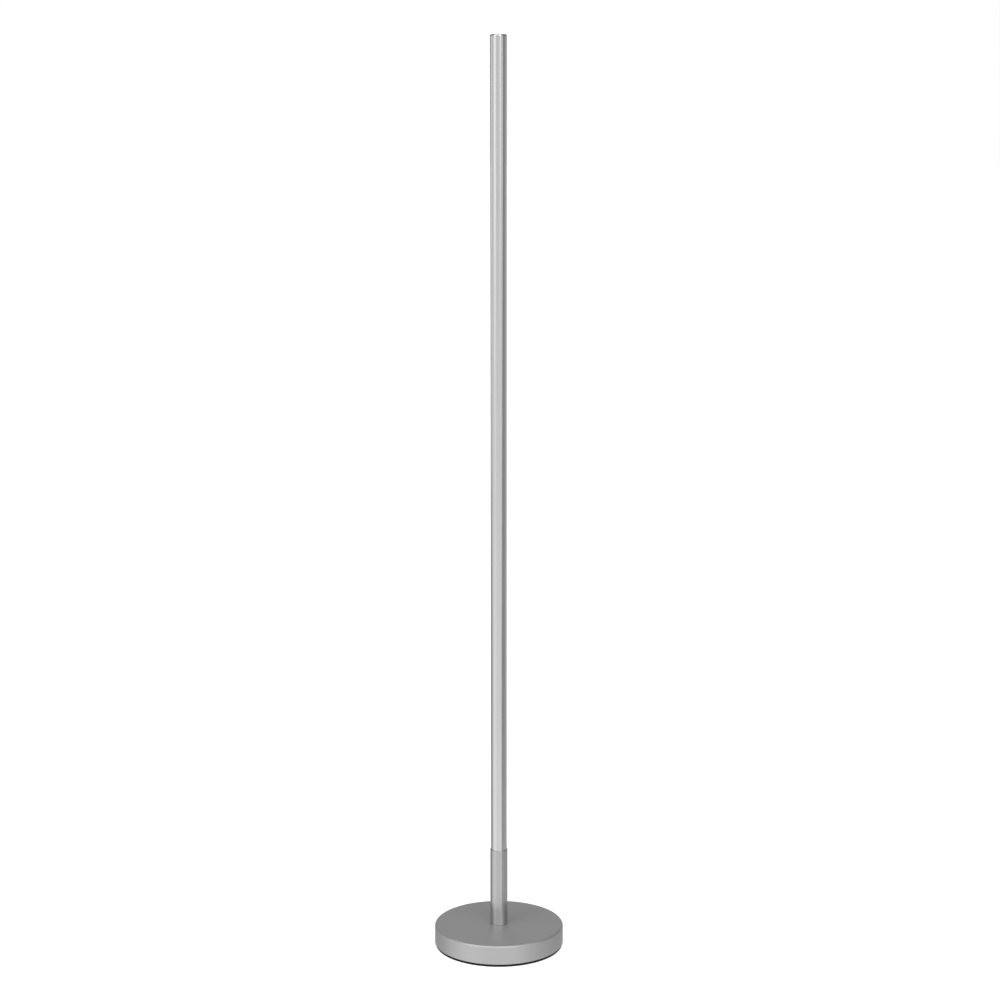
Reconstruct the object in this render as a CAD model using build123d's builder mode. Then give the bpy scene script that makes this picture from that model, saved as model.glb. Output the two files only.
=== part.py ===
"""Flag pole stand: a round weighted foot, a socket tube bolted upright on it, and a plain
aluminium pole that drops into the socket, turns in it and lifts straight out.

Millimetres. The origin is on the floor at the centre of the foot, and +Z runs up the pole.
"""

import os
from math import cos, pi, radians, tan

from build123d import *

os.makedirs("parts", exist_ok=True)

# ------------------------------------------------------------------ driving sizes

# Pole: drawn aluminium tube, its foot turned down so that it slips into the socket.
pole_diameter = 32.0
pole_wall = 1.5
pole_length = 1750.0
foot_slip = 0.2  # radial room between the turned-down foot and the socket's bore
shoulder_gap = 0.5  # shadow gap between the socket's rim and the pole's full diameter

# Socket: steel tube whose bore is the pole's own diameter, closed below by a threaded plug.
socket_wall = 1.5
socket_height = 158.0
rim_chamfer = 0.4
mouth_chamfer = 0.6
foot_chamfer = 0.7  # leaves a fine dark groove where the socket stands on the cover

# Foot: a drawn steel cover over a cast iron weight, on a rubber pad.
base_diameter = 260.0
base_height = 38.5
cover_wall = 1.5
cover_edge_radius = 4.5
cover_lip_break = 0.4
weight_gap = 0.5  # room between the weight and the cover's skirt and edge
weight_foot_chamfer = 1.0
pad_thickness = 5.5
pad_inset = 2.0  # how far the pad's edge lies inside the cover's
pad_edge_break = 0.5

# Fasteners: one M12 hexagon bolt, a spring washer and a wide flat washer.
bolt_diameter = 12.0
bolt_head_across_flats = 18.0
bolt_head_height = 7.5
bolt_head_cone = 30.0  # degrees from the head's face
bolt_tip_chamfer = 1.0
thread_engagement = 16.5
thread_room = 0.05  # radial room that stands for the thread's form
tip_room = 1.5  # plug left above the bolt's tip
bolt_hole_room = 0.75
flat_washer_diameter = 37.0
flat_washer_thickness = 3.0
spring_washer_diameter = 21.1
spring_washer_thickness = 2.5
spring_washer_split = 2.0
spring_washer_slant = 30.0  # degrees from upright
spring_washer_room = 0.2
flat_washer_room = 0.4
recess_room = 1.5  # radial room round the flat washer
head_recess = 2.0  # how far the bolt head stays above the weight's underside

# Loose seat at the bottom of the socket, and the two push-in plugs of the pole.
seat_thickness = 2.0
seat_room = 0.4
seat_vent_diameter = 8.0
foot_flange_thickness = 2.0
cap_flange_thickness = 3.0
cap_edge_round = 2.8
foot_edge_round = 0.5
spigot_length = 22.0
spigot_wall = 1.8
spigot_lead = 2.0
barb_count = 3
barb_height = 3.0
barb_depth = 1.1
barb_room = 0.05

# ------------------------------------------------------------------ worked-out sizes

HEXAGON = 6
STAND = (Align.CENTER, Align.CENTER, Align.MIN)

pole_radius = pole_diameter / 2
pole_bore_radius = pole_radius - pole_wall
foot_radius = pole_radius - foot_slip
socket_bore_radius = pole_radius
socket_radius = socket_bore_radius + socket_wall
base_radius = base_diameter / 2
pad_radius = base_radius - pad_inset
weight_radius = base_radius - cover_wall - weight_gap
weight_edge_chamfer = cover_edge_radius + weight_gap
bolt_radius = bolt_diameter / 2
bolt_hole_radius = bolt_radius + bolt_hole_room
head_flat_radius = bolt_head_across_flats / 2
head_corner_radius = head_flat_radius / cos(pi / HEXAGON)
head_corner_drop = (head_corner_radius - head_flat_radius) * tan(radians(bolt_head_cone))
recess_radius = flat_washer_diameter / 2 + recess_room
washer_stack = flat_washer_thickness + spring_washer_thickness
recess_depth = head_recess + bolt_head_height + washer_stack

# Heights above the floor, from the pad up.
pad_top = pad_thickness
recess_roof = pad_top + recess_depth
flat_washer_bottom = recess_roof - flat_washer_thickness
spring_washer_bottom = flat_washer_bottom - spring_washer_thickness
spring_washer_middle = spring_washer_bottom + spring_washer_thickness / 2
bolt_head_bottom = spring_washer_bottom - bolt_head_height
cover_top = pad_top + base_height
weight_top = cover_top - cover_wall
bolt_tip = cover_top + thread_engagement
plug_top = bolt_tip + tip_room
socket_top = cover_top + socket_height
seat_top = plug_top + seat_thickness
pole_bottom = seat_top + foot_flange_thickness
pole_shoulder = socket_top + shoulder_gap
pole_top = pole_bottom + pole_length

# ------------------------------------------------------------------ foot

# Rubber pad, glued under the weight, with a hole that leaves the bolt within reach.
with BuildPart() as floor_pad:
    Cylinder(pad_radius, pad_thickness, align=STAND)
    chamfer(floor_pad.faces().sort_by(Axis.Z)[0].edges(), pad_edge_break)
    Hole(recess_radius)

# Cast iron weight: a disc with a deep counterbore in its underside for bolt and washers.
with BuildPart() as base_weight:
    with BuildSketch(Plane.XY.offset(pad_top)):
        Circle(weight_radius)
    extrude(amount=weight_top - pad_top)
    chamfer(base_weight.faces().sort_by(Axis.Z)[-1].edges(), weight_edge_chamfer)
    chamfer(base_weight.faces().sort_by(Axis.Z)[0].edges(), weight_foot_chamfer)
    with Locations(base_weight.faces().sort_by(Axis.Z)[0]):
        CounterBoreHole(bolt_hole_radius, recess_radius, recess_depth)

# Drawn steel cover: flat top, rounded edge and a straight skirt round the weight.
with BuildPart(Plane.XY.offset(pad_top)) as base_cover:
    Cylinder(base_radius, base_height, align=STAND)
    fillet(base_cover.faces().sort_by(Axis.Z)[-1].edges(), cover_edge_radius)
    offset(amount=-cover_wall, openings=base_cover.faces().sort_by(Axis.Z)[0])
    chamfer(base_cover.faces().sort_by(Axis.Z)[0].edges(), cover_lip_break)
    Hole(bolt_hole_radius)

# ------------------------------------------------------------------ fasteners

# Hexagon bolt, up through washers, weight and cover into the socket's plug.
with BuildPart() as fixing_bolt:
    with BuildSketch(Plane.XY.offset(bolt_head_bottom)):
        RegularPolygon(head_flat_radius, side_count=HEXAGON, major_radius=False)
    extrude(amount=bolt_head_height)
    # A cone takes the corners off the hexagon's outer face.
    with BuildSketch(Plane.XZ):
        with BuildLine():
            Polyline(
                (0, bolt_head_bottom),
                (head_flat_radius, bolt_head_bottom),
                (head_corner_radius, bolt_head_bottom + head_corner_drop),
                (head_corner_radius, spring_washer_bottom),
                (0, spring_washer_bottom),
                close=True,
            )
        make_face()
    revolve(axis=Axis.Z, mode=Mode.INTERSECT)
    with BuildSketch(Plane.XY.offset(spring_washer_bottom)):
        Circle(bolt_radius - thread_room)
    extrude(amount=bolt_tip - spring_washer_bottom)
    chamfer(fixing_bolt.faces().sort_by(Axis.Z)[-1].edges(), bolt_tip_chamfer)

# Spring washer, pressed flat, with its slanting split.
with BuildPart(Plane.XY.offset(spring_washer_bottom)) as spring_washer:
    Cylinder(spring_washer_diameter / 2, spring_washer_thickness, align=STAND)
    Hole(bolt_radius + spring_washer_room)
    with BuildSketch(Plane((0, 0, spring_washer_middle), z_dir=(0, 1, 0))):
        Rectangle(2 * spring_washer_thickness, spring_washer_split, rotation=spring_washer_slant)
    extrude(amount=spring_washer_diameter / 2, mode=Mode.SUBTRACT)

# Flat washer that spreads the bolt's pull over the roof of the recess.
with BuildPart(Plane.XY.offset(flat_washer_bottom)) as flat_washer:
    Cylinder(flat_washer_diameter / 2, flat_washer_thickness, align=STAND)
    Hole(bolt_radius + flat_washer_room)

# ------------------------------------------------------------------ socket

# Socket tube, standing on the cover, with its rim broken inside and out.
with BuildPart() as socket_tube:
    with BuildSketch(Plane.XY.offset(cover_top)):
        Circle(socket_radius)
        Circle(socket_bore_radius, mode=Mode.SUBTRACT)
    extrude(amount=socket_height)
    rim = socket_tube.faces().sort_by(Axis.Z)[-1].edges().sort_by(SortBy.RADIUS)
    chamfer(rim[0], mouth_chamfer)
    chamfer(rim[-1], rim_chamfer)
    foot = socket_tube.faces().sort_by(Axis.Z)[0].edges().sort_by(SortBy.RADIUS)
    chamfer(foot[-1], foot_chamfer)

# Threaded plug, pressed into the socket tube's lower end and welded there.
with BuildPart(Plane.XY.offset(cover_top)) as socket_plug:
    Cylinder(socket_bore_radius, plug_top - cover_top, align=STAND)
    Hole(bolt_radius)

# Loose rubber disc on which the pole stands and with which it turns.
with BuildPart(Plane.XY.offset(plug_top)) as seat_disc:
    Cylinder(socket_bore_radius - seat_room, seat_thickness, align=STAND)
    Hole(seat_vent_diameter / 2)

# ------------------------------------------------------------------ pole

# Pole tube, its foot turned down over the length that goes into the socket.
with BuildPart() as pole_tube:
    with BuildSketch(Plane.XY.offset(pole_bottom)):
        Circle(foot_radius)
        Circle(pole_bore_radius, mode=Mode.SUBTRACT)
    extrude(amount=pole_length)
    with BuildSketch(Plane.XY.offset(pole_shoulder)):
        Circle(pole_radius)
        Circle(pole_bore_radius, mode=Mode.SUBTRACT)
    extrude(amount=pole_top - pole_shoulder)


def push_in_plug(mouth, flange_radius, flange_thickness, edge_round):
    """A moulded plug for one end of the pole: mouth is the plane of that end, its Z into the tube."""
    inward = Axis(mouth.origin, mouth.z_dir)
    core_radius = pole_bore_radius - barb_room - barb_depth
    with BuildPart(mouth) as plug:
        with Locations((0, 0, -flange_thickness)):
            Cylinder(flange_radius, flange_thickness, align=STAND)
        fillet(plug.faces().sort_by(inward)[0].edges(), edge_round)
        Cylinder(core_radius, spigot_length, align=STAND)
        # Rings of barbs, each widest towards the flange, that grip the tube's bore.
        pitch = (spigot_length - spigot_lead) / barb_count
        with Locations([(0, 0, (n + 0.5) * pitch) for n in range(barb_count)]):
            Cone(core_radius + barb_depth, core_radius, barb_height, align=STAND)
        with BuildSketch(mouth):
            Circle(core_radius - spigot_wall)
        extrude(amount=spigot_length, mode=Mode.SUBTRACT)
    return plug


pole_foot_plug = push_in_plug(
    Plane((0, 0, pole_bottom), z_dir=(0, 0, 1)),
    foot_radius - foot_slip,
    foot_flange_thickness,
    foot_edge_round,
)
pole_top_cap = push_in_plug(
    Plane((0, 0, pole_top), z_dir=(0, 0, -1)),
    pole_radius,
    cap_flange_thickness,
    cap_edge_round,
)

# ------------------------------------------------------------------ one file for each piece

pieces = {
    "floor_pad": floor_pad,
    "base_weight": base_weight,
    "base_cover": base_cover,
    "fixing_bolt": fixing_bolt,
    "spring_washer": spring_washer,
    "flat_washer": flat_washer,
    "socket_tube": socket_tube,
    "socket_plug": socket_plug,
    "seat_disc": seat_disc,
    "pole_tube": pole_tube,
    "pole_foot_plug": pole_foot_plug,
    "pole_top_cap": pole_top_cap,
}
for name, piece in pieces.items():
    piece.part.label = name
    export_step(piece.part, f"parts/{name}.step")
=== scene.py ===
"""Looks of the flag pole stand: a round weighted foot, a socket sleeve bolted upright on it, and
a plain aluminium pole that stands in the sleeve. Metres, +Z up, origin on the floor under the pole.
"""

from math import cos, degrees, pi, radians, tan

import bpy
import numpy as np
from mathutils import Matrix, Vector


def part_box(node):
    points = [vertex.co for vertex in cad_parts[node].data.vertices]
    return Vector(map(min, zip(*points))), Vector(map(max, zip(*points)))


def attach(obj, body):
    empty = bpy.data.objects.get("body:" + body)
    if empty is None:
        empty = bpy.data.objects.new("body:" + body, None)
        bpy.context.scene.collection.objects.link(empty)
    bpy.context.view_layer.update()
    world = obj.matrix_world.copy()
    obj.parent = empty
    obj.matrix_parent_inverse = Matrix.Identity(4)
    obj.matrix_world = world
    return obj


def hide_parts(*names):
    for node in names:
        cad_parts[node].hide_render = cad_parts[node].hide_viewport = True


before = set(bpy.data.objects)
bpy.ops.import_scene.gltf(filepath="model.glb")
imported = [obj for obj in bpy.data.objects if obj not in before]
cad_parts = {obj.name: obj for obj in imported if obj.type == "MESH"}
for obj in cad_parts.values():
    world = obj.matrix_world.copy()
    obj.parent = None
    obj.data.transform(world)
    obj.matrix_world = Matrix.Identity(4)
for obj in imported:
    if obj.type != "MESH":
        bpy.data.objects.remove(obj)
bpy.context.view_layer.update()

MM = 0.001

# ---------------------------------------------------------------- camera
# A long lens at eye height, level with the top of the pole, looking down a little so that the
# foot shows its upper face.
lens_length = 86.5  # mm, on the default 36 mm sensor
eye_distance = 4.638
eye_height = 1.813
eye_aside = 0.0025
tilt_down = radians(10.9)
tilt_sideways = radians(-0.022)

camera = bpy.data.objects.new("camera", bpy.data.cameras.new("camera"))
bpy.context.scene.collection.objects.link(camera)
camera.data.lens = lens_length
camera.data.clip_end = 100
camera.matrix_world = (
    Matrix.Translation((eye_aside, -eye_distance, eye_height))
    @ Matrix.Rotation(pi / 2 - tilt_down, 4, "X")
    @ Matrix.Rotation(tilt_sideways, 4, "Z")
)
bpy.context.scene.camera = camera
bpy.context.scene.view_settings.view_transform = "Standard"


# ---------------------------------------------------------------- floor
# A pale floor, evenly lit, so that the stand has only a faint contact shadow round its foot.
floor_half = 30.0
floor_shade = (0.80, 0.80, 0.80, 1)
floor_glow = 0.62

floor_mesh = bpy.data.meshes.new("floor")
floor_mesh.from_pydata(
    [(x * floor_half, y * floor_half, 0) for x, y in ((-1, -1), (1, -1), (1, 1), (-1, 1))],
    [],
    [(0, 1, 2, 3)],
)
floor = bpy.data.objects.new("floor", floor_mesh)
bpy.context.scene.collection.objects.link(floor)
floor_finish = bpy.data.materials.new("pale floor")
floor_finish.use_nodes = True
floor_shader = floor_finish.node_tree.nodes["Principled BSDF"]
floor_shader.inputs["Base Color"].default_value = floor_shade
floor_shader.inputs["Roughness"].default_value = 0.9
floor_shader.inputs["Specular IOR Level"].default_value = 0.0
floor_shader.inputs["Emission Color"].default_value = (1, 1, 1, 1)
floor_shader.inputs["Emission Strength"].default_value = floor_glow
floor.data.materials.append(floor_finish)
floor.visible_glossy = False
floor.visible_diffuse = False


# ---------------------------------------------------------------- studio light
# One plain grey room with soft panels in it. A panel spans an azimuth, 0 towards the camera and
# positive to its right, and an elevation, both in degrees, and fades out over its soft edge. Below
# the horizon its right side leans inwards by lean degrees for each degree down, for 18 degrees.
lean_depth = 18
room_grey = 0.12
panels = [
    dict(name="front wall", left=-90, right=64, low=-90, high=10, soft=12, lean=1.5, power=0.66),
    dict(name="front wall, upper part", left=-90, right=64, low=10, high=36, soft=12, lean=0, power=0.44),
    dict(name="front floor", left=-100, right=80, low=-90, high=-12, soft=20, lean=1.2, power=0.17),
    dict(name="right floor", left=24, right=104, low=-90, high=-22, soft=5, lean=0, power=0.62),
    dict(name="key on the floor", left=-80, right=-34, low=-90, high=-12, soft=18, lean=0, power=0.15),
    dict(name="above the camera", left=-64, right=60, low=34, high=66, soft=12, lean=0, power=1.9),
    dict(name="left edge", left=-106, right=-90, low=-90, high=12, soft=8, lean=0, power=0.50),
    dict(name="left side", left=-150, right=-106, low=-90, high=-4, soft=14, lean=0, power=0.22),
    dict(name="right side", left=56, right=150, low=-90, high=8, soft=16, lean=0, power=0.18),
    dict(name="right edge", left=96, right=155, low=-90, high=4, soft=16, lean=0, power=0.20),
    dict(name="key", left=-66, right=-40, low=-6, high=60, soft=5, lean=0, power=0.54),
    dict(name="key, upper part", left=-82, right=-36, low=8, high=60, soft=6, lean=0, power=0.50),
    dict(name="fill", left=17, right=31, low=-2.6, high=60, soft=4, lean=0, power=0.64),
    dict(name="fill, upper part", left=8, right=42, low=8, high=60, soft=6, lean=0, power=0.50),
    dict(name="thin strip", left=-123, right=-106, low=-10, high=5, soft=7, lean=0, power=1.0),
    dict(name="top light", left=-180, right=180, low=66, high=100, soft=12, lean=0, power=0.45),
    dict(name="behind", left=145, right=215, low=4, high=46, soft=12, lean=0, power=0.33),
    dict(name="back wall", left=150, right=210, low=-60, high=2, soft=10, lean=0, power=0.50),
]

world = bpy.data.worlds.new("studio")
bpy.context.scene.world = world
world.use_nodes = True
room = world.node_tree
room.nodes.clear()


def sum_up(operation, first, second=None, third=None):
    """One Math node of the room's light: each input is a number or a socket."""
    node = room.nodes.new("ShaderNodeMath")
    node.operation = operation
    for socket, value in zip(node.inputs, (first, second, third)):
        if isinstance(value, bpy.types.NodeSocket):
            room.links.new(value, socket)
        elif value is not None:
            socket.default_value = value
    return node.outputs[0]


def fade_in(distance, soft):
    """0 outside an edge and 1 inside it, by the smooth step over the soft width. The distance from
    the edge is negative outside."""
    node = room.nodes.new("ShaderNodeMapRange")
    node.interpolation_type = "SMOOTHSTEP"
    room.links.new(distance, node.inputs["Value"])
    node.inputs["From Min"].default_value = -soft / 2
    node.inputs["From Max"].default_value = soft / 2
    return node.outputs["Result"]


direction = room.nodes.new("ShaderNodeTexCoord")
split = room.nodes.new("ShaderNodeSeparateXYZ")
room.links.new(direction.outputs["Generated"], split.inputs[0])
towards = sum_up("MULTIPLY", split.outputs["Y"], -1)
azimuth = sum_up("MULTIPLY", sum_up("ARCTAN2", split.outputs["X"], towards), 180 / pi)
elevation = sum_up("MULTIPLY", sum_up("ARCSINE", split.outputs["Z"]), 180 / pi)
light = None
for panel in panels:
    middle, half = (panel["left"] + panel["right"]) / 2, (panel["right"] - panel["left"]) / 2
    aside = sum_up("WRAP", sum_up("SUBTRACT", azimuth, middle), 180, -180)
    depth = sum_up("MAXIMUM", sum_up("MINIMUM", elevation, 0), -lean_depth)
    lean = sum_up("MULTIPLY", depth, panel["lean"])
    rightward = fade_in(sum_up("ADD", aside, half), panel["soft"])
    leftward = fade_in(sum_up("ADD", sum_up("SUBTRACT", half, aside), lean), panel["soft"])
    if half == 180:  # all the way round, with no side edges
        rightward = leftward = 1.0
    upward = fade_in(sum_up("SUBTRACT", elevation, panel["low"]), panel["soft"])
    downward = fade_in(sum_up("SUBTRACT", panel["high"], elevation), panel["soft"])
    across = sum_up("MULTIPLY", rightward, leftward)
    share = sum_up("MULTIPLY", across, sum_up("MULTIPLY", upward, downward))
    glow = sum_up("MULTIPLY", share, panel["power"])
    light = glow if light is None else sum_up("ADD", light, glow)
lit_room = room.nodes.new("ShaderNodeBackground")
lit_room.inputs["Color"].default_value = (1, 1, 1, 1)
room.links.new(sum_up("ADD", light, room_grey), lit_room.inputs["Strength"])
plain_back = room.nodes.new("ShaderNodeBackground")
plain_back.inputs["Color"].default_value = (1, 1, 1, 1)
ray = room.nodes.new("ShaderNodeLightPath")
choice = room.nodes.new("ShaderNodeMixShader")
room.links.new(ray.outputs["Is Camera Ray"], choice.inputs[0])
room.links.new(lit_room.outputs[0], choice.inputs[1])
room.links.new(plain_back.outputs[0], choice.inputs[2])
room_out = room.nodes.new("ShaderNodeOutputWorld")
room.links.new(choice.outputs[0], room_out.inputs["Surface"])


# ---------------------------------------------------------------- floor pad
# A disc of black rubber sheet, glued under the foot, with a hole in the middle through which the
# bolt can be reached. Its lower edge is broken by a small chamfer.
pad_low, pad_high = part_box("floor_pad")
recess_radius = 20 * MM
pad_chamfer = 0.5 * MM
round_turns = 256
crease = radians(35)  # faces that meet at more than this keep a sharp edge between them
arc_step = 7.5  # degrees


def outline(corners):
    """Points of a profile in the plane of radius and height, from corners (radius, height, rounding).

    A rounded corner becomes an arc that touches both of its sides: with half the turn h, the arc
    starts rounding * tan(h) before the corner and its points are spaced evenly in angle, one for
    each arc_step or less. A point a little before and after each arc keeps the flats flat.
    """
    points = []
    spots = np.array([corner[:2] for corner in corners])
    last = len(corners) - 1
    for i, (radius, height, rounding) in enumerate(corners):
        here = spots[i]
        if rounding == 0 or (radius == 0 and i in (0, last)):
            points.append(here[None])
            continue
        back = spots[i - 1] - here
        ahead = spots[(i + 1) % (last + 1)] - here
        back, ahead = back / np.linalg.norm(back), ahead / np.linalg.norm(ahead)
        half_turn = (pi - np.arccos(np.clip(back @ ahead, -1, 1))) / 2
        reach = rounding * tan(half_turn)
        centre = here + (back + ahead) / np.linalg.norm(back + ahead) * rounding / cos(half_turn)
        out = here + back * reach - centre
        side = -back
        steps = max(2, int(np.ceil(degrees(2 * half_turn) / arc_step)))
        angle = np.linspace(0, 2 * half_turn, steps + 1)[:, None]
        arc = centre + out * np.cos(angle) + side * rounding * np.sin(angle)
        ease = rounding / 4
        points.append(np.vstack([arc[:1] + back * ease, arc, arc[-1:] + ahead * ease]))
    return np.vstack(points)


def skin(name, grid, closed):
    """A mesh over a grid of points, rows along the profile and columns around the axis.

    The last column joins the first. A closed profile's last row joins its first; an open one ends
    on the axis at both ends, where each end row becomes a single point with triangles round it.
    """
    rows, columns, _ = grid.shape
    around = np.arange(columns)
    beside = (around + 1) % columns
    mesh = bpy.data.meshes.new(name)
    if closed:
        row = np.arange(rows)[:, None] * columns
        above = (np.arange(rows)[:, None] + 1) % rows * columns
        faces = np.stack([row + around, row + beside, above + beside, above + around], -1)
        mesh.from_pydata(grid.reshape(-1, 3), [], faces.reshape(-1, 4).tolist())
    else:
        points = np.vstack([grid[0, :1], grid[1:-1].reshape(-1, 3), grid[-1, :1]])
        row = np.arange(rows - 3)[:, None] * columns + 1
        above = row + columns
        walls = np.stack([row + around, row + beside, above + beside, above + around], -1)
        end, top = len(points) - 1, 1 + (rows - 3) * columns
        start_fan = np.stack([0 * around, 1 + beside, 1 + around], -1)
        end_fan = np.stack([0 * around + end, top + around, top + beside], -1)
        faces = walls.reshape(-1, 4).tolist() + start_fan.tolist() + end_fan.tolist()
        mesh.from_pydata(points, [], faces)
    mesh.polygons.foreach_set("use_smooth", np.ones(len(mesh.polygons), bool))
    mesh.set_sharp_from_angle(angle=crease)
    mesh.update()
    piece = bpy.data.objects.new(name, mesh)
    bpy.context.scene.collection.objects.link(piece)
    return piece


def turned(name, corners, turns=round_turns):
    """A piece turned on a lathe: the outline, counter-clockwise as radius goes right and height up,
    is carried round the axis: x = radius * cos(angle), y = radius * sin(angle), z = height."""
    profile = outline(corners)
    angle = np.arange(turns) * 2 * pi / turns
    radius, height = profile[:, :1], profile[:, 1:]
    grid = np.stack([radius * np.cos(angle), radius * np.sin(angle), height + 0 * angle], -1)
    return skin(name, grid, closed=corners[0][0] > 0)


def new_finish(name, metallic, roughness, colour=(1, 1, 1)):
    """A material with its Principled shader; the constant values are set on the shader itself."""
    material = bpy.data.materials.new(name)
    material.use_nodes = True
    shader = material.node_tree.nodes["Principled BSDF"]
    shader.inputs["Metallic"].default_value = metallic
    shader.inputs["Roughness"].default_value = roughness
    shader.inputs["Base Color"].default_value = (*colour, 1)
    return material, shader


def grain(material, size, stretch=(1, 1, 1), detail=2.0):
    """Noise on Object coordinates: lumps about size metres across, longer along an axis by its stretch."""
    nodes, links = material.node_tree.nodes, material.node_tree.links
    place = nodes.new("ShaderNodeTexCoord")
    scaling = nodes.new("ShaderNodeMapping")
    scaling.inputs["Scale"].default_value = [1 / s for s in stretch]
    noise = nodes.new("ShaderNodeTexNoise")
    noise.inputs["Scale"].default_value = 1 / size
    noise.inputs["Detail"].default_value = detail
    links.new(place.outputs["Object"], scaling.inputs["Vector"])
    links.new(scaling.outputs["Vector"], noise.inputs["Vector"])
    return noise.outputs["Fac"]


def spread(material, source, low, high):
    """Maps the middle of a noise, 0.3 to 0.7, to values from low to high."""
    node = material.node_tree.nodes.new("ShaderNodeMapRange")
    node.inputs["From Min"].default_value = 0.3
    node.inputs["From Max"].default_value = 0.7
    node.inputs["To Min"].default_value = low
    node.inputs["To Max"].default_value = high
    material.node_tree.links.new(source, node.inputs["Value"])
    return node.outputs["Result"]


def tint(material, source, dark, light):
    """Mixes two colours by a noise."""
    node = material.node_tree.nodes.new("ShaderNodeMix")
    node.data_type = "RGBA"
    node.inputs["A"].default_value = (*dark, 1)
    node.inputs["B"].default_value = (*light, 1)
    material.node_tree.links.new(spread(material, source, 0, 1), node.inputs["Factor"])
    return node.outputs["Result"]


def relief(material, source, depth, under=None):
    """Bumps of that depth, in metres, laid over the bumps under them."""
    node = material.node_tree.nodes.new("ShaderNodeBump")
    node.inputs["Strength"].default_value = 1.0
    node.inputs["Distance"].default_value = depth
    material.node_tree.links.new(source, node.inputs["Height"])
    if under is not None:
        material.node_tree.links.new(under, node.inputs["Normal"])
    return node.outputs["Normal"]


def black_rubber():
    """Calendered rubber sheet: nearly black and dull, with a fine pebble grain and a little dust."""
    material, shader = new_finish("black rubber", 0.0, 0.8)
    link = material.node_tree.links.new
    dust = grain(material, 25 * MM, detail=5)
    pebble = grain(material, 0.6 * MM)
    link(tint(material, dust, (0.006, 0.006, 0.006), (0.014, 0.014, 0.013)), shader.inputs["Base Color"])
    link(spread(material, dust, 0.70, 0.88), shader.inputs["Roughness"])
    link(relief(material, pebble, 0.06 * MM), shader.inputs["Normal"])
    shader.inputs["Specular IOR Level"].default_value = 0.3
    return material


rubber = black_rubber()
pad_radius = pad_high.x
rubber_pad = turned(
    "rubber_pad",
    [
        (recess_radius, pad_low.z, 0.3 * MM),
        (pad_radius - pad_chamfer, pad_low.z, 0.3 * MM),
        (pad_radius, pad_low.z + pad_chamfer, 0.3 * MM),
        (pad_radius, pad_high.z, 0.2 * MM),
        (recess_radius, pad_high.z, 0.2 * MM),
    ],
)
rubber_pad.data.materials.append(rubber)
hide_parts("floor_pad")
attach(rubber_pad, "foot")


# ---------------------------------------------------------------- iron weight
# A grey iron casting that makes the foot heavy. Its underside is counterbored for the bolt, and
# its upper edge is chamfered clear of the cover's rounded edge.
weight_low, weight_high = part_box("base_weight")
bolt_hole_radius = 6.75 * MM
weight_edge = 5.0 * MM
weight_foot = 1.0 * MM
recess_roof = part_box("flat_washer")[1].z


def cast_iron():
    """Sand-cast iron under a thin dark primer: coarse lumps, fine pits, uneven dull sheen."""
    material, shader = new_finish("cast iron", 0.35, 0.7)
    link = material.node_tree.links.new
    lumps = grain(material, 6 * MM, detail=3)
    sand = grain(material, 0.7 * MM, detail=4)
    link(tint(material, lumps, (0.035, 0.034, 0.033), (0.075, 0.072, 0.070)), shader.inputs["Base Color"])
    link(spread(material, sand, 0.55, 0.8), shader.inputs["Roughness"])
    lumpy = relief(material, lumps, 0.25 * MM)
    link(relief(material, sand, 0.12 * MM, lumpy), shader.inputs["Normal"])
    return material


weight_radius = weight_high.x
iron_weight = turned(
    "iron_weight",
    [
        (recess_radius, weight_low.z, 0.3 * MM),
        (weight_radius - weight_foot, weight_low.z, 0.3 * MM),
        (weight_radius, weight_low.z + weight_foot, 0.3 * MM),
        (weight_radius, weight_high.z - weight_edge, 0.8 * MM),
        (weight_radius - weight_edge, weight_high.z, 0.8 * MM),
        (bolt_hole_radius, weight_high.z, 0.3 * MM),
        (bolt_hole_radius, recess_roof, 0.3 * MM),
        (recess_radius, recess_roof, 0.8 * MM),
    ],
)
iron_weight.data.materials.append(cast_iron())
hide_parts("base_weight")
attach(iron_weight, "foot")


# ---------------------------------------------------------------- foot cover
# A cover drawn from 1.5 mm steel sheet over the weight: flat top, rounded edge, straight skirt.
# It is powder coated in a satin silver grey.
cover_low, cover_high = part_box("base_cover")
cover_wall = 1.5 * MM
cover_edge = 4.5 * MM


def satin_grey_coat(name, metallic, sheen):
    """Silver-grey powder coat: fine orange peel, metal flake that sparkles a little, slow patches
    of more and less sheen where it has been handled and wiped. sheen is its mean roughness."""
    material, shader = new_finish(name, metallic, sheen)
    link = material.node_tree.links.new
    peel = grain(material, 0.9 * MM)
    flake = grain(material, 0.16 * MM, detail=1)
    patches = grain(material, 60 * MM, detail=3)
    link(tint(material, flake, (0.46, 0.46, 0.465), (0.55, 0.55, 0.555)), shader.inputs["Base Color"])
    link(spread(material, patches, 0.94 * sheen, 1.08 * sheen), shader.inputs["Roughness"])
    wavy = relief(material, peel, 0.010 * MM)
    link(relief(material, flake, 0.003 * MM, wavy), shader.inputs["Normal"])
    return material


cover_coat = satin_grey_coat("satin grey coat, cover", metallic=0.78, sheen=0.51)
cover_radius = cover_high.x
foot_cover = turned(
    "foot_cover",
    [
        (cover_radius - cover_wall, cover_low.z, 0.4 * MM),
        (cover_radius, cover_low.z, 0.5 * MM),
        (cover_radius, cover_high.z, cover_edge),
        (bolt_hole_radius, cover_high.z, 0.3 * MM),
        (bolt_hole_radius, cover_high.z - cover_wall, 0.3 * MM),
        (cover_radius - cover_wall, cover_high.z - cover_wall, cover_edge - cover_wall),
    ],
)
foot_cover.data.materials.append(cover_coat)
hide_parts("base_cover")
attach(foot_cover, "foot")


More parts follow.
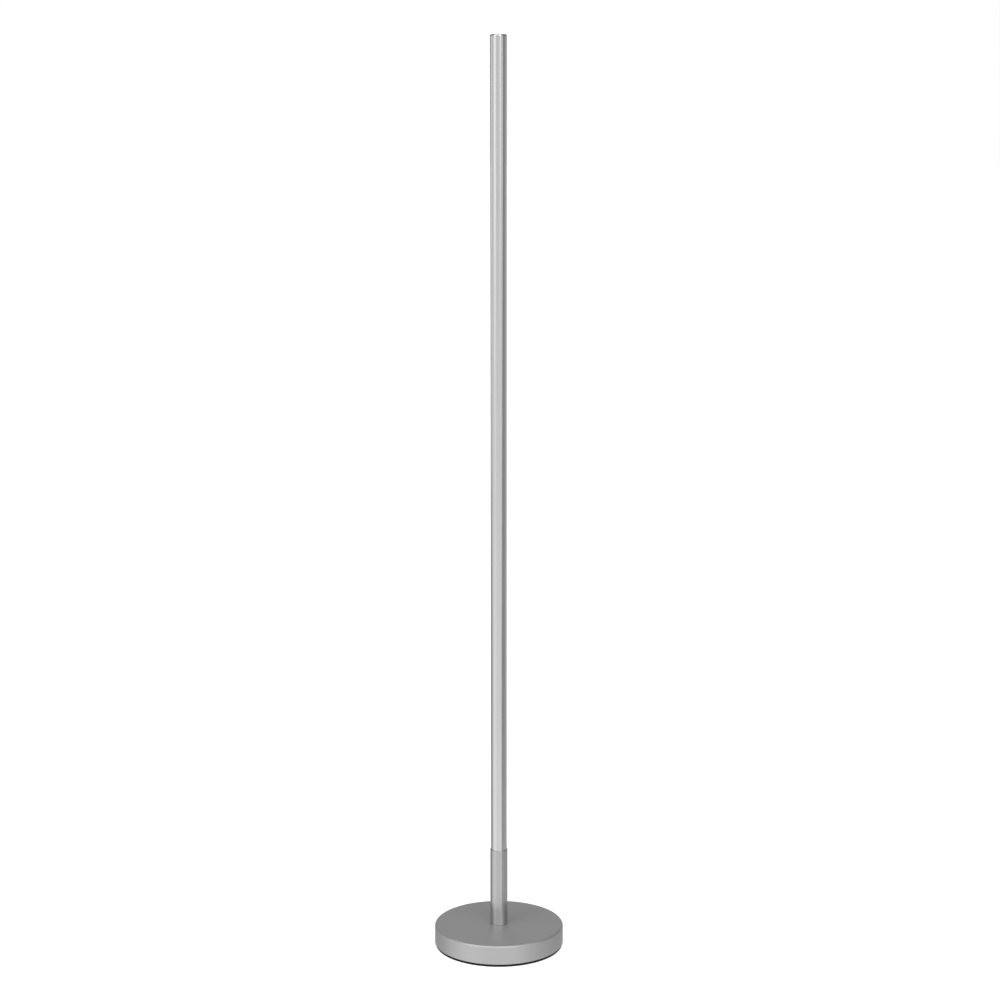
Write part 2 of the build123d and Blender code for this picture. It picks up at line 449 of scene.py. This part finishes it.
# ---------------------------------------------------------------- bolt
# An M12 hexagon bolt, zinc plated, up through washers, weight and cover into the sleeve's plug.
# Its head has the usual chamfered corners, and the thread is cut only near the tip.
bolt_low, bolt_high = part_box("fixing_bolt")
head_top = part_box("spring_washer")[0].z
head_flat = bolt_high.y  # half the width across the flats
bolt_shank = 5.95 * MM
thread_pitch = 1.75 * MM
thread_depth = 1.07 * MM
thread_start = cover_high.z - 6 * MM
tip_chamfer = 1.0 * MM
bolt_turns = 144


def thread_cut(angle, height, low, high):
    """How deep a 60 degree thread cuts below its crest: the depth goes up and down once each pitch as
    a triangle wave of height minus pitch * angle / turn, cut flat at the crest, and runs out
    smoothly over one pitch at both ends."""
    phase = np.mod((height - thread_pitch * angle / (2 * pi)) / thread_pitch, 1)
    wave = np.clip(np.abs(2 * phase - 1) * 1.25 - 0.125, 0, 1)
    run_out = np.clip(np.minimum(height - low, high - height) / thread_pitch, 0, 1)
    return thread_depth * wave * run_out


def zinc_plate():
    """Bright zinc plate: a cool metal with fine spangle and small dull spots."""
    material, shader = new_finish("zinc plate", 1.0, 0.3)
    link = material.node_tree.links.new
    spangle = grain(material, 1.2 * MM, detail=3)
    spots = grain(material, 5 * MM, detail=4)
    link(tint(material, spangle, (0.56, 0.57, 0.60), (0.70, 0.71, 0.72)), shader.inputs["Base Color"])
    link(spread(material, spots, 0.24, 0.40), shader.inputs["Roughness"])
    link(relief(material, spangle, 0.004 * MM), shader.inputs["Normal"])
    return material


zinc = zinc_plate()
angle = np.arange(bolt_turns) * 2 * pi / bolt_turns
to_flat = np.mod(angle, pi / 3) - pi / 6  # angle from the middle of the nearest flat
hexagon = head_flat / np.cos(to_flat)
face_radius = 0.95 * head_flat  # the round face left by the chamfer
corner_drop = (hexagon - face_radius) * tan(radians(30))
head_rows = [
    (0 * angle, bolt_low.z + 0 * angle),
    (0 * angle + face_radius * 0.5, bolt_low.z + 0 * angle),
    (0 * angle + face_radius, bolt_low.z + 0 * angle),
    (hexagon, bolt_low.z + corner_drop),
    (hexagon, head_top + 0 * angle),
    (0 * angle + bolt_shank * 1.2, head_top + 0 * angle),
]
shank_heights = np.arange(head_top, bolt_high.z - tip_chamfer, thread_pitch / 10)
shank_rows = [
    (bolt_shank - thread_cut(angle, z, thread_start, bolt_high.z + thread_pitch), z + 0 * angle)
    for z in shank_heights
]
tip_radius = bolt_shank - tip_chamfer
tip_rows = [
    (0 * angle + tip_radius, bolt_high.z + 0 * angle),
    (0 * angle + tip_radius * 0.5, bolt_high.z + 0 * angle),
    (0 * angle, bolt_high.z + 0 * angle),
]
radius, height = np.array(head_rows + shank_rows + tip_rows).transpose(1, 0, 2)
hex_bolt = skin(
    "hex_bolt", np.stack([radius * np.cos(angle), radius * np.sin(angle), height], -1), closed=False
)
hex_bolt.data.materials.append(zinc)
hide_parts("fixing_bolt")
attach(hex_bolt, "foot")


# ---------------------------------------------------------------- washers
# A split spring washer, pressed flat by the bolt's head, and above it a broad stamped washer that
# spreads the pull over the roof of the recess. Both are zinc plated.
spring_low, spring_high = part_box("spring_washer")
spring_bore = 6.2 * MM
spring_split = 2.0 * MM
split_slant = radians(30)
broad_low, broad_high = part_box("flat_washer")
broad_bore = 6.4 * MM

spring_radius = spring_high.x
section = outline(
    [
        (spring_bore, spring_low.z, 0.2 * MM),
        (spring_radius, spring_low.z, 0.2 * MM),
        (spring_radius, spring_high.z, 0.2 * MM),
        (spring_bore, spring_high.z, 0.2 * MM),
    ]
)
# The section runs round from one face of the split to the other. The split is at +Y, and both of
# its faces lean, so a point's angle shifts with its height.
along = np.linspace(0, 1, 97)
radius, height = section[:, :1], section[:, 1:]
half_gap = (spring_split / 2) / cos(split_slant) / radius
shift = (height - (spring_low.z + spring_high.z) / 2) * tan(split_slant) / radius
turn = pi / 2 + shift + half_gap + along * (2 * pi - 2 * half_gap)
ring = np.stack([radius * np.cos(turn), radius * np.sin(turn), height + 0 * turn], -1)
rows, columns, _ = ring.shape
row, column = np.arange(rows)[:, None] * columns, np.arange(columns - 1)
above = (np.arange(rows)[:, None] + 1) % rows * columns
walls = np.stack([row + column, row + column + 1, above + column + 1, above + column], -1)
ends = [list(range(0, rows * columns, columns)), list(range(columns - 1, rows * columns, columns))[::-1]]
washer_mesh = bpy.data.meshes.new("split_washer")
washer_mesh.from_pydata(ring.reshape(-1, 3), [], walls.reshape(-1, 4).tolist() + ends)
washer_mesh.polygons.foreach_set("use_smooth", np.ones(len(washer_mesh.polygons), bool))
washer_mesh.set_sharp_from_angle(angle=crease)
split_washer = bpy.data.objects.new("split_washer", washer_mesh)
bpy.context.scene.collection.objects.link(split_washer)
split_washer.data.materials.append(zinc)
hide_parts("spring_washer")
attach(split_washer, "foot")

broad_washer = turned(
    "broad_washer",
    [
        (broad_bore, broad_low.z, 0.6 * MM),
        (broad_high.x, broad_low.z, 0.6 * MM),
        (broad_high.x, broad_high.z, 0.15 * MM),
        (broad_bore, broad_high.z, 0.15 * MM),
    ],
    turns=128,
)
broad_washer.data.materials.append(zinc)
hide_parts("flat_washer")
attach(broad_washer, "foot")


# ---------------------------------------------------------------- threaded plug
# A short steel plug, turned to fit the sleeve's lower end and welded there, with an M12 thread
# through it that the bolt draws up.
plug_low, plug_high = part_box("socket_plug")
thread_room = 0.05 * MM
plug_chamfer = 0.8 * MM


def turned_steel():
    """Bare steel off the lathe: fine rings, oiled, a little brown in places."""
    material, shader = new_finish("turned steel", 1.0, 0.35)
    link = material.node_tree.links.new
    stain = grain(material, 8 * MM, detail=4)
    rings = grain(material, 0.3 * MM, stretch=(60, 60, 1), detail=1)
    link(tint(material, stain, (0.34, 0.32, 0.30), (0.50, 0.49, 0.48)), shader.inputs["Base Color"])
    link(spread(material, stain, 0.28, 0.42), shader.inputs["Roughness"])
    link(relief(material, rings, 0.01 * MM), shader.inputs["Normal"])
    return material


angle = np.arange(bolt_turns) * 2 * pi / bolt_turns
bore_heights = np.arange(plug_high.z - plug_chamfer, plug_low.z + plug_chamfer / 2, -thread_pitch / 10)
bore_rows = [
    (
        bolt_shank + thread_room - thread_cut(angle, z, thread_start, bolt_high.z + thread_pitch),
        z + 0 * angle,
    )
    for z in bore_heights
]
outer = outline(
    [
        (bolt_shank + plug_chamfer, plug_low.z, 0),
        (plug_high.x - plug_chamfer, plug_low.z, 0.2 * MM),
        (plug_high.x, plug_low.z + plug_chamfer, 0.2 * MM),
        (plug_high.x, plug_high.z - plug_chamfer, 0.2 * MM),
        (plug_high.x - plug_chamfer, plug_high.z, 0.2 * MM),
        (bolt_shank + plug_chamfer, plug_high.z, 0),
    ]
)
outer_rows = [(r + 0 * angle, z + 0 * angle) for r, z in outer]
radius, height = np.array(outer_rows + bore_rows).transpose(1, 0, 2)
threaded_plug = skin(
    "threaded_plug", np.stack([radius * np.cos(angle), radius * np.sin(angle), height], -1), closed=True
)
threaded_plug.data.materials.append(turned_steel())
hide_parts("socket_plug")
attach(threaded_plug, "foot")


# ---------------------------------------------------------------- socket sleeve
# A length of 35 x 1.5 mm steel tube, standing on the cover and drawn down by the bolt. Its rim is
# broken inside and out, and it has the same satin grey coat as the cover.
sleeve_low, sleeve_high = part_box("socket_tube")
sleeve_wall = 1.5 * MM
rim_outside = 0.5 * MM
rim_inside = 0.6 * MM
foot_break = 0.7 * MM  # leaves a fine groove above the cover

sleeve_radius = sleeve_high.x
sleeve_bore = sleeve_radius - sleeve_wall
socket_sleeve = turned(
    "socket_sleeve",
    [
        (sleeve_bore, sleeve_low.z, 0.1 * MM),
        (sleeve_radius - foot_break, sleeve_low.z, 0.1 * MM),
        (sleeve_radius, sleeve_low.z + foot_break, 0.3 * MM),
        (sleeve_radius, sleeve_high.z, rim_outside),
        (sleeve_bore, sleeve_high.z, rim_inside),
    ],
    turns=192,
)
sleeve_coat = satin_grey_coat("satin grey coat, sleeve", metallic=0.85, sheen=0.24)
socket_sleeve.data.materials.append(sleeve_coat)
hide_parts("socket_tube")
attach(socket_sleeve, "foot")


# ---------------------------------------------------------------- seat disc
# A loose disc of the same rubber on the plug, with a vent hole: the pole stands and turns on it.
seat_low, seat_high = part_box("seat_disc")
vent_radius = 4.0 * MM

seat_pad = turned(
    "seat_pad",
    [
        (vent_radius, seat_low.z, 0.3 * MM),
        (seat_high.x, seat_low.z, 0.3 * MM),
        (seat_high.x, seat_high.z, 0.3 * MM),
        (vent_radius, seat_high.z, 0.3 * MM),
    ],
    turns=128,
)
seat_pad.data.materials.append(rubber)
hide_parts("seat_disc")
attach(seat_pad, "seat")


# ---------------------------------------------------------------- pole
# One length of drawn aluminium tube, 32 x 1.5 mm, satin anodised in its natural colour. The foot
# is turned down a little, up to a shoulder just above the sleeve's rim.
pole_low, pole_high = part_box("pole_tube")
pole_wall = 1.5 * MM
foot_slip = 0.2 * MM
shoulder = sleeve_high.z + 0.5 * MM


def anodised_tube():
    """Satin clear anodised aluminium: die lines run the length of the tube, finer than a hair, and
    the sheen changes slowly along it where hands and flags have rubbed."""
    material, shader = new_finish("anodised tube", 1.0, 0.2)
    link = material.node_tree.links.new
    die_lines = grain(material, 0.35 * MM, stretch=(1, 1, 400), detail=3)
    rubbed = grain(material, 90 * MM, detail=3)
    link(tint(material, die_lines, (0.635, 0.635, 0.64), (0.69, 0.69, 0.695)), shader.inputs["Base Color"])
    link(spread(material, rubbed, 0.17, 0.23), shader.inputs["Roughness"])
    link(relief(material, die_lines, 0.0006 * MM), shader.inputs["Normal"])
    return material


pole_radius = pole_high.x
pole_bore = pole_radius - pole_wall
drawn_pole = turned(
    "drawn_pole",
    [
        (pole_bore, pole_low.z, 0.15 * MM),
        (pole_radius - foot_slip, pole_low.z, 0.3 * MM),
        (pole_radius - foot_slip, shoulder, 0),
        (pole_radius, shoulder, 0.08 * MM),
        (pole_radius, pole_high.z, 0.08 * MM),
        (pole_bore, pole_high.z, 0.15 * MM),
    ],
    turns=192,
)
drawn_pole.data.materials.append(anodised_tube())
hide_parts("pole_tube")
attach(drawn_pole, "pole")


# ---------------------------------------------------------------- plugs of the pole
# Two moulded plugs pushed into the ends of the tube, each with a flange, a hollow spigot and three
# rings of barbs. The lower one is black, the upper one is bright plated and forms the pole's top.
spigot_wall = 1.8 * MM
spigot_lead = 2.0 * MM
barb_count = 3
barb_height = 3.0 * MM
barb_depth = 1.1 * MM
barb_room = 0.05 * MM
bung_edge = 0.5 * MM
cap_edge = 2.8 * MM


def push_in_plug(name, flange_radius, flange_face, mouth, tip, edge, inward):
    """Outline of a plug whose flange goes from flange_face to the tube's mouth, and whose spigot goes
    on to its tip, all heights. inward is 1 where the tube lies above the flange, -1 below."""
    core = pole_bore - barb_room - barb_depth
    pitch = (abs(tip - mouth) - spigot_lead) / barb_count
    corners = [
        (0, flange_face, 0),
        (flange_radius, flange_face, edge),
        (flange_radius, mouth, 0.1 * MM),
        (core, mouth, 0.2 * MM),
    ]
    for n in range(barb_count):
        start = mouth + inward * (n + 0.5) * pitch
        corners += [
            (core, start, 0.2 * MM),
            (core + barb_depth, start, 0.1 * MM),
            (core, start + inward * barb_height, 0.1 * MM),
        ]
    corners += [
        (core, tip, 0.4 * MM),
        (core - spigot_wall, tip, 0.4 * MM),
        (core - spigot_wall, mouth, 0.5 * MM),
        (0, mouth, 0),
    ]
    # A plug that hangs down is drawn from the top, so its outline is reversed to stay counter-clockwise.
    return turned(name, corners if inward > 0 else corners[::-1], turns=192)


def bright_plate():
    """Polished nickel-chrome plate on a moulded cap: a mirror with faint hairlines and smudges."""
    material, shader = new_finish("bright plate", 1.0, 0.08)
    link = material.node_tree.links.new
    smudge = grain(material, 9 * MM, detail=4)
    hairlines = grain(material, 0.25 * MM, stretch=(1, 8, 1), detail=3)
    link(tint(material, smudge, (0.70, 0.70, 0.705), (0.75, 0.75, 0.755)), shader.inputs["Base Color"])
    link(spread(material, smudge, 0.05, 0.12), shader.inputs["Roughness"])
    link(relief(material, hairlines, 0.0004 * MM), shader.inputs["Normal"])
    return material


def moulded_black():
    """Black moulded plastic with the fine matt texture of a spark-eroded mould."""
    material, shader = new_finish("moulded black", 0.0, 0.5)
    link = material.node_tree.links.new
    mould = grain(material, 0.25 * MM, detail=2)
    flow = grain(material, 12 * MM, detail=2)
    link(tint(material, flow, (0.018, 0.018, 0.018), (0.030, 0.030, 0.030)), shader.inputs["Base Color"])
    link(spread(material, flow, 0.42, 0.58), shader.inputs["Roughness"])
    link(relief(material, mould, 0.015 * MM), shader.inputs["Normal"])
    return material


bung_low, bung_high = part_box("pole_foot_plug")
foot_bung = push_in_plug(
    "foot_bung", bung_high.x, bung_low.z, pole_low.z, bung_high.z, bung_edge, inward=1
)
foot_bung.data.materials.append(moulded_black())
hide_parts("pole_foot_plug")
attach(foot_bung, "pole")

cap_low, cap_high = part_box("pole_top_cap")
plated_cap = push_in_plug(
    "plated_cap", cap_high.x, cap_high.z, pole_high.z, cap_low.z, cap_edge, inward=-1
)
plated_cap.data.materials.append(bright_plate())
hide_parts("pole_top_cap")
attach(plated_cap, "pole")
